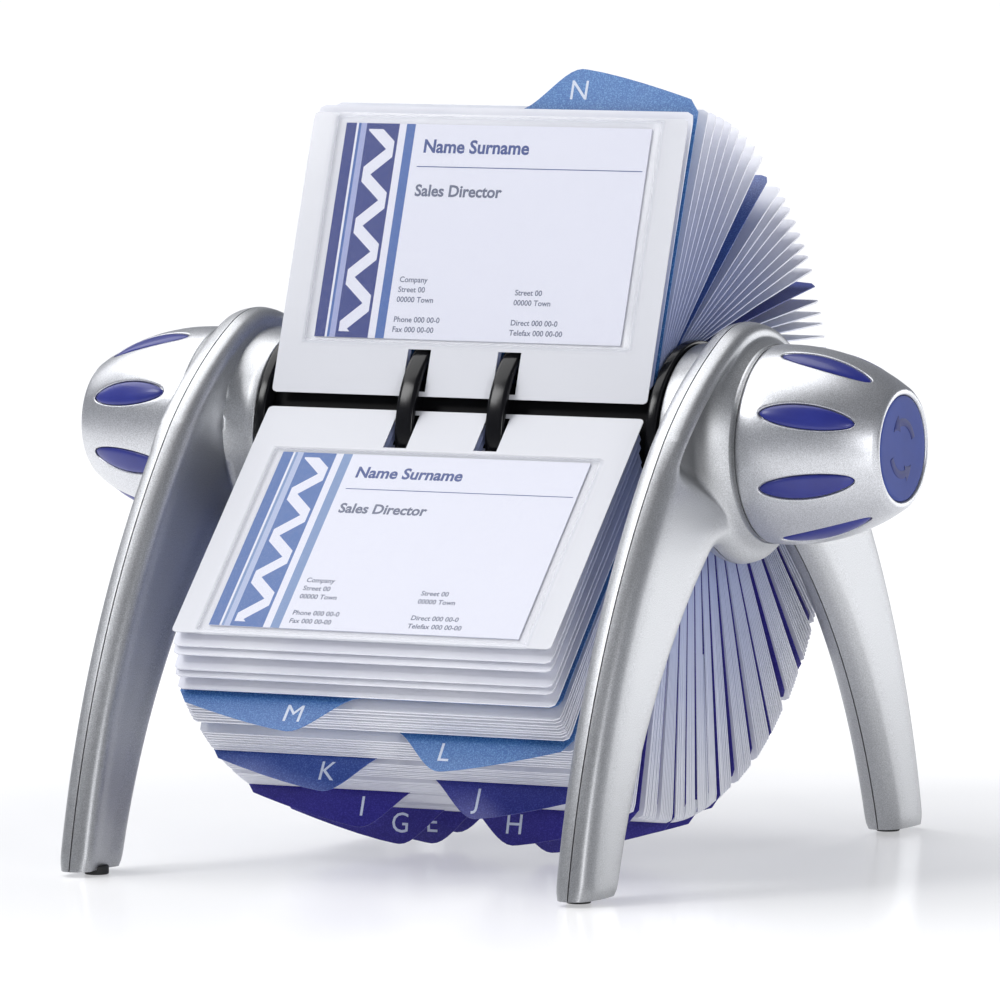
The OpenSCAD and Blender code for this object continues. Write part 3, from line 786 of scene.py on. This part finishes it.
# %% [markdown]
# Nearly two hundred pockets are only seen edge on, so each has only some dozens of faces: a wedge
# that is thin where it hooks on and opens slightly at its mouth, as two folded layers do. The
# pockets behind one divider cling together and stray to one side, which opens gaps beside the
# divider. A seeded random number also tips each one, because no real stack is perfect.

# %% The pockets in the stack
groups = {"n_to_p": "nop", "q_to_s": "qrs", "t_to_v": "tuv", "w_to_z": ["w", "xy", "z"],
          "a_to_c": "abc", "d_to_f": "def", "g_to_j": "ghij", "k_to_m": "klm"}
plain_x = np.array([-page_half, -15.7, -9.3, 9.3, 15.7, page_half])
plain_s = np.array([0, 2.5, slot_h, 40, pocket_h - 2.5, pocket_h - 0.7, pocket_h])
plain_faces = slab_faces(kept(plain_x, plain_s, neck=False))
plain_cols, plain_rows = page_grid(plain_x, plain_s, pocket_h, 1.6)
lip_shares = (0.14, 0.35, 0.48, 0.7, 0.83)
fold_half, mouth_more, tip, sag_spread = 0.09, 0.12, 0.16, 0.25
chance = np.random.default_rng(7)


def plain_pockets(radii, hooks):
    """All sheets of a group at once, each thicker at its mouth."""
    half = fold_half + mouth_more * smooth((plain_rows - 20) / 52)
    t = np.stack([half, -half])
    patches = []
    for r, (a, lean) in zip(radii, hooks):
        place = (a, lean + chance.uniform(-tip, tip))
        sag = 1.5 + chance.uniform(-sag_spread, sag_spread)
        points = hang(plain_cols, plain_rows, t, r, place, sag)
        patches.append((points.reshape(-1, 3), plain_faces))
    return patches


for name, members in groups.items():
    ks = np.array([ring_index(c) + np.arange(1, sheets_each) for c in members if c != "m"])
    at, lean = ring_place(ks)
    middle = lean.mean(1, keepdims=True)
    cling, stray = (0.92, 0.2) if "n" in members else (0.76, 1.1)
    lean = middle + (lean - middle) * cling + chance.uniform(-stray, stray, middle.shape)
    hooks, radii = list(zip(at.ravel(), lean.ravel())), [ring_r] * ks.size
    if "n" in members:
        hooks.append(tuple((np.array(top_place) + ring_place(0)) / 2))
        radii.append((open_r + ring_r) / 2)
    if "m" in members:
        last = np.array(ring_place(ring_count - 1))
        for share in lip_shares:
            hooks.append(tuple(last + (np.array(bottom_place) - last) * share))
            radii.append(ring_r + (open_r - ring_r) * share)
    stack = make(f"stack_{name}", plain_pockets(radii, hooks), film_white, "wheel",
                 [f"pockets_{name}"])
    _, y, z = places(stack).T
    away = np.hypot(y, z - axle_h)
    # Painted shade: 0.9 by the drum, fading to none at the outer edge of the stack.
    tell(stack, "depth", 0.9 * smooth((away.max() - 7 - away) / 45))

# %% [markdown]
# ## Dividers
# A divider is a sheet of dyed film with a tab that rises in a soft S and falls away slowly. Tabs
# take turns left and right. The letters are real type: text is made a mesh first, given a hair of
# thickness, and laid on both faces of the tab, upright for whoever reads that face.


# %% Divider sheets
peak_x = 18.5


def tab_side(letter):
    """-1 for a tab on the left, 1 for one on the right, in turn."""
    return -1 if letters.index(letter) % 2 == 0 else 1


def tab_top(x):
    """Top edge at x for a tab on the right: flat, an S up to the peak, then a crowned fall."""
    rise = tab_h * smooth((x - 2) / (peak_x - 2))
    v = np.clip((x - peak_x) / (page_half - peak_x), 0, 1)
    top = divider_h + np.where(x < peak_x, rise, 3 + (tab_h - 3) * (1 - v ** 1.3))
    return np.where(x > page_half - 0.1, divider_h + 0.5, top)


blue_x = np.array([-52, -49.5, -30, -15.7, -14.15, -10.85, -9.3, 0, 2, 4, 5.8, 7.5, 9.3, 10.85,
                   12.5, 14.15, 15.7, 17.1, 18.5, 20, 24, 30, 36, 42, 46, 49.5, 52.0])
blue_s = np.array([0, 0.7, 1.2, 2.5, slot_h, 30, 50, 60, 67.5, 69.3, 70.0])
blue_faces = slab_faces(kept(blue_x, blue_s))
blue_cols, blue_rows = page_grid(blue_x, blue_s, divider_h)
blue_cols[5:, -1] = page_half
blue_rows[-1] = tab_top(blue_x)
# Painted shade per divider: low on the lit sheets by the open faces, 1 on all the rest, deeper in
# the stack.
depths = {"n": 0.0, "o": 0.55, "p": 0.8, "m": 0.12, "l": 0.05, "k": 0.62, "j": 0.9, "q": 0.75}


for letter in letters:
    hand = tab_side(letter)
    t = np.stack([blue_cols * 0 + 0.11, blue_cols * 0 - 0.11])
    points = hang(hand * blue_cols, blue_rows, t, ring_r, ring_place(ring_index(letter)))
    sheet = make(f"divider_sheet_{letter}", [(points.reshape(-1, 3), blue_faces)], divider_blue,
                 "wheel", [f"divider_{letter}"])
    tell(sheet, "depth", depths.get(letter, 1.0))


# %% Letters on the tabs
def lettering(text, height, bold=0.0, centred=True):
    """Type as (points, triangles), in millimetres, a hair thick."""
    curve = bpy.data.curves.new("type", "FONT")
    curve.body, curve.size, curve.extrude = text, height / 0.7, 0.012
    curve.resolution_u, curve.offset = 3, bold * height
    curve.align_x = "CENTER" if centred else "LEFT"
    holder = linked("type", curve)
    mesh = bpy.data.meshes.new_from_object(
        holder.evaluated_get(bpy.context.evaluated_depsgraph_get()))
    bpy.data.objects.remove(holder)
    mesh.calc_loop_triangles()
    points = np.zeros(len(mesh.vertices) * 3)
    mesh.vertices.foreach_get("co", points)
    faces = np.zeros(len(mesh.loop_triangles) * 3, np.int32)
    mesh.loop_triangles.foreach_get("vertices", faces)
    bpy.data.meshes.remove(mesh)
    return points.reshape(-1, 3), faces.reshape(-1, 3)


marks = []
for letter in letters:
    place = ring_place(ring_index(letter))
    p, faces = lettering(letter.upper(), 5.0)
    for way in (1, -1):
        s, t = 75.6 + way * (p[:, 1] - 2.5), way * (0.125 + p[:, 2])
        marks.append((hang(p[:, 0] + tab_side(letter) * peak_x, s, t, ring_r, place), faces))
make("tab_letters", marks, ink_pale, "wheel")

# %% [markdown]
# ## The two open faces
# The pocket on top and the one below hold a business card each. A filled pocket is two clear
# sheets that swell apart over the card and meet in the welds at its sides and along its fold.


# %% Clear pockets
clear_x = np.array([0, 9.3, 10.85, 14.15, 15.7, 24, 34, 41, 43, 44.5, 46, 47, 50, 52.0])
clear_x = np.concatenate([-clear_x[:0:-1], clear_x])
clear_s = np.array([0, 0.3, 0.8, 1.2, 2.5, 7, slot_h, 12.6, 13.4, 14.2, 22, 32, 42, 52, 62, 69.5,
                    70.8, 71.6, pocket_h])
clear_faces = slab_faces(kept(clear_x, clear_s))
clear_cols, clear_rows = page_grid(clear_x, clear_s, pocket_h, 1.1)


def clear_pocket(name, node, body, place, reader):
    """Two films, 0.34 mm from the middle over the card and 0.05 mm at the welds. The film away
    from the reader's side is frosted white."""
    full = smooth((46.6 - np.abs(clear_cols)) / 3) * smooth((clear_rows - 12.4) / 1.6)
    gap = 0.05 + 0.29 * full
    patches = []
    for way in (1, -1):
        t = way * np.stack([gap + 0.07, gap])
        patches.append((hang(clear_cols, clear_rows, t, open_r, place, 0).reshape(-1, 3),
                        clear_faces))
    pocket = make(name, patches, film_clear, body, [node])
    a, lean = np.radians(place)
    x, y, z = (places(pocket) - [0, -open_r * np.cos(a), axle_h + open_r * np.sin(a)]).T
    s = z * np.sin(lean) - y * np.cos(lean)
    behind = (y * np.sin(lean) + z * np.cos(lean)) * reader > 0
    seams = np.max([(np.abs(x) - 44.5) / 1.6, (14 - s) / 1.5, (s - 71) / 0.9], 0)
    tell(pocket, "weld", np.maximum(behind, smooth(seams)))


clear_pocket("top_pocket_film", "top_pocket", "top_pocket", top_place, 1)
clear_pocket("bottom_pocket_film", "bottom_pocket", "wheel", bottom_place, -1)

# %% [markdown]
# A card is white stock with a printed block of stripes down its left edge and a few lines of
# raised type. The shader works the stripes out from a coordinate stored on the card: (distance
# from the left, distance from the top), in millimetres.


# %% Card finish
def printed_card(name, deep, mid, light):
    """Paper fibre, and stripes where the distance from the left is between two numbers."""
    f = Finish(name)
    u, v = f.x_and_y(f.told("print", "Vector"))
    fibre = f.noise(900, 4, 0.7)
    colour = f.mix(fibre, (0.73, 0.74, 0.85), (0.81, 0.82, 0.91))
    zigzag = f.node("ShaderNodeMath", {"operation": "PINGPONG"}, {0: v, 1: 6.6})
    ribbon = f.node("ShaderNodeMath", {"operation": "ABSOLUTE"}, {0: zigzag - (u - 6.6) * 0.85})
    shape = (ribbon < 1.9) * (u > 6.6) * (u < 14.2) * (v > 1.5) * (v < 53.5)
    for low, high, ink in ((0, 2.9, deep), (3.5, 4.2, mid), (4.2, 5.8, light), (5.8, 15, deep),
                           (17, 19.5, mid)):
        band = (u > low) * (u < high)
        colour = f.mix(band * (1 - shape) * (0.94 + fibre * 0.1), colour, ink)
    return f.done(Base_Color=colour, Roughness=0.42 + fibre * 0.15,
                  Normal=f.bump(fibre, 0.00001, 0.25))


def ink(name, colour):
    """Printing ink: slightly uneven in strength, satin."""
    return moulded(name, tuple(c * 0.85 for c in colour), colour, 0.4, 1500, 0.000004)


card_ink = ink("card_ink", (0.035, 0.07, 0.27))
grey_ink = ink("grey_ink", (0.13, 0.15, 0.24))


# %% Cards and their type
card_half, first_line, line_step = 42.5, 40.5, 2.55


def card(name, node, body, place, way, finish):
    """A stiff slab; way is the face that is read."""
    low, high = 14.4, 69.4
    s, x = np.meshgrid([low, (low + high) / 2, high], [-card_half, 0, card_half], indexing="ij")
    t = np.stack([x * 0 + 0.15, x * 0 - 0.15])
    sheet = hang(x, s, t, open_r, place, 0).reshape(-1, 3), slab_faces(np.ones((2, 2), bool))
    made = make(name, [sheet], finish, body, [node], 20)
    down = high - s if way > 0 else s - low
    spot = np.stack([x + card_half, down, np.zeros((3, 3))], -1).reshape(-1, 3)
    blank = np.full((9, 3), -50.0)
    spots = np.concatenate([spot, blank] if way > 0 else [blank, spot]).astype(np.float32)
    attribute = made.data.attributes.new("print", "FLOAT_VECTOR", "POINT")
    attribute.data.foreach_set("vector", spots.ravel())

    def lay(p, faces, u, v):
        """Type with its lower left corner u from the left and v from the top."""
        x, up = u + p[:, 0] - card_half, v - p[:, 1]
        s = high - up if way > 0 else low + up
        return hang(x, s, way * (0.165 + p[:, 2]), open_r, place, 0), faces

    bar = np.array([[u, v, h] for h in (0, 0.01) for v in (0, 0.22) for u in (0, 62.5)])
    quads = slab_faces(np.ones((1, 1), bool))
    triangles = np.concatenate([quads[:, :3], quads[:, [0, 2, 3]]])
    title = lettering("Name Surname", 3.3, 0.04, False)
    names = [lay(*title, 22.5, 7.2), lay(bar, triangles, 21.5, 11)]
    small = [lay(*lettering("Sales Director", 2.9, 0.04, False), 22, 18.4)]
    for column, lines in ((21.5, ("Company", "Street 00", "00000 Town", "", "Phone 000 00-0",
                                  "Fax 000 00-00")),
                          (54, ("", "Street 00", "00000 Town", "", "Direct 000 00-0",
                                "Telefax 000 00-00"))):
        for line, text in enumerate(lines):
            if text:
                down_to = first_line + line_step * line
                small.append(lay(*lettering(text, 1.4, 0.018, False), column, down_to))
    make(f"{name}_name", names, card_ink, body)
    make(f"{name}_lines", small, grey_ink, body)


strong = printed_card("strong_card", (0.011, 0.03, 0.21), (0.05, 0.13, 0.4), (0.34, 0.38, 0.64))
faded = printed_card("faded_card", (0.055, 0.14, 0.4), (0.18, 0.28, 0.51), (0.42, 0.49, 0.7))
card("top_card_print", "top_card", "top_card", top_place, 1, strong)
card("bottom_card_print", "bottom_card", "bottom_card", bottom_place, -1, faded)

# %% [markdown]
# ## Finishes of the parts that stay as they are
# The axle, nuts, spring washers and bushes sit deep inside. Their CAD shapes are right, so they
# only get a finish.

# %% Finishes on CAD parts
for node, finish in (("axle", axle_steel), ("axle_nut", hardware_steel),
                     ("spring_washer", hardware_steel), ("bush", nylon_white)):
    for name in [node] if node == "axle" else [f"left_{node}", f"right_{node}"]:
        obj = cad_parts[name]
        for slot in range(max(1, len(obj.material_slots))):
            if not obj.material_slots:
                obj.data.materials.append(finish)
            obj.material_slots[slot].material = finish
print("hardware finished")

# %% [markdown]
# ## Floor, light and camera
# The floor glows faintly, so that shadows stay light. The glow is weaker round the object, and it
# fades at the left, which gives the silver something dark to mirror. A broad sun from overhead
# makes most of the light, and four soft lamps add bright edges. The camera stands far away with a
# long lens, so the object hardly narrows with distance.


# %% Floor
def floor_finish():
    """Nearly white lacquer: faint clouds in its gloss, and a glow that lifts the shadows."""
    f = Finish("floor_finish")
    cloud, (x, y) = f.noise(3, 2), f.x_and_y(f.place())
    colour = f.mix(cloud, (0.78, 0.78, 0.78), (0.80, 0.80, 0.80))
    # Painted dark patch at the left front, in the floor's colour and glow, for the silver to
    # mirror.
    painted_dark_side = f.step(x * -0.77 + y * -0.63, 0.3, 1.1)
    # Painted shadow: the glow is weaker close round the object, out to about 0.36 m.
    away = f.node("ShaderNodeVectorMath", {"operation": "LENGTH"}, {0: f.place()}, output=1)
    glow = f.mix(f.step(away, 0.11, 0.36), (0.6, 0.6, 0.61), (1, 1, 1))
    return f.done(Base_Color=f.mix(painted_dark_side, colour, (0.4, 0.4, 0.41)),
                  Roughness=0.14 + cloud * 0.05, Specular_IOR_Level=0.22, Emission_Strength=0.62,
                  Emission_Color=f.mix(painted_dark_side, glow, (0.25, 0.25, 0.27)))


floor_mesh, edge = bpy.data.meshes.new("floor"), 40
floor_corners = [(-edge, -edge, 0), (edge, -edge, 0), (edge, edge, 0), (-edge, edge, 0)]
floor_mesh.from_pydata(floor_corners, [], [(0, 1, 2, 3)])
floor_mesh.materials.append(floor_finish())
floor = linked("floor", floor_mesh)


# %% Lamps and sky
def aim(obj, target):
    """Turns an object so that it looks at a point."""
    obj.rotation_euler = (Vector(target) - obj.location).to_track_quat("-Z", "Y").to_euler()


centre = (0, 0, 0.095)


def softbox(name, place, size, watts):
    """A square lamp of `size` metres that looks at the middle of the object."""
    lamp = bpy.data.lights.new(name, "AREA")
    lamp.size, lamp.energy = size, watts
    obj = linked(name, lamp)
    obj.location = place
    aim(obj, centre)


softbox("key", (-0.95, -1.1, 1.25), 0.5, 10)
softbox("side", (-1.4, 0.5, 0.9), 0.6, 2)
softbox("fill", (1.5, -1.3, 0.45), 0.45, 6.5)
softbox("rim", (0.95, 1.6, 0.42), 0.7, 5)
sun = bpy.data.lights.new("sky_glow", "SUN")
sun.energy, sun.angle = 2.1, 1.0
sun_obj = linked("sky_glow", sun)
sun_obj.location = (-1.1, 0.1, 2.3)
aim(sun_obj, centre)
world = bpy.data.worlds.new("studio")
bpy.context.scene.world = world
world.use_nodes = True
sky = world.node_tree
direction = sky.nodes.new("ShaderNodeSeparateXYZ")
height = sky.nodes.new("ShaderNodeMapRange")
height.inputs["To Min"].default_value, height.inputs["To Max"].default_value = 0.32, 0.08
sky.links.new(sky.nodes.new("ShaderNodeTexCoord").outputs["Generated"], direction.inputs[0])
sky.links.new(direction.outputs["Z"], height.inputs["Value"])
sky.links.new(height.outputs[0], sky.nodes["Background"].inputs["Strength"])
sky.nodes["Background"].inputs["Color"].default_value = (0.86, 0.9, 1, 1)
bpy.context.scene.view_settings.view_transform = "Standard"

# %% Camera
camera = bpy.data.cameras.new("camera")
camera.lens, camera.clip_end = 368.0, 100
view = linked("camera", camera)
view.location = (1.1685, -2.2332, 0.2906)
aim(view, (0.00037, 0, 0.08758))
view.rotation_euler.rotate_axis("Z", math.radians(-0.11))
bpy.context.scene.camera = view
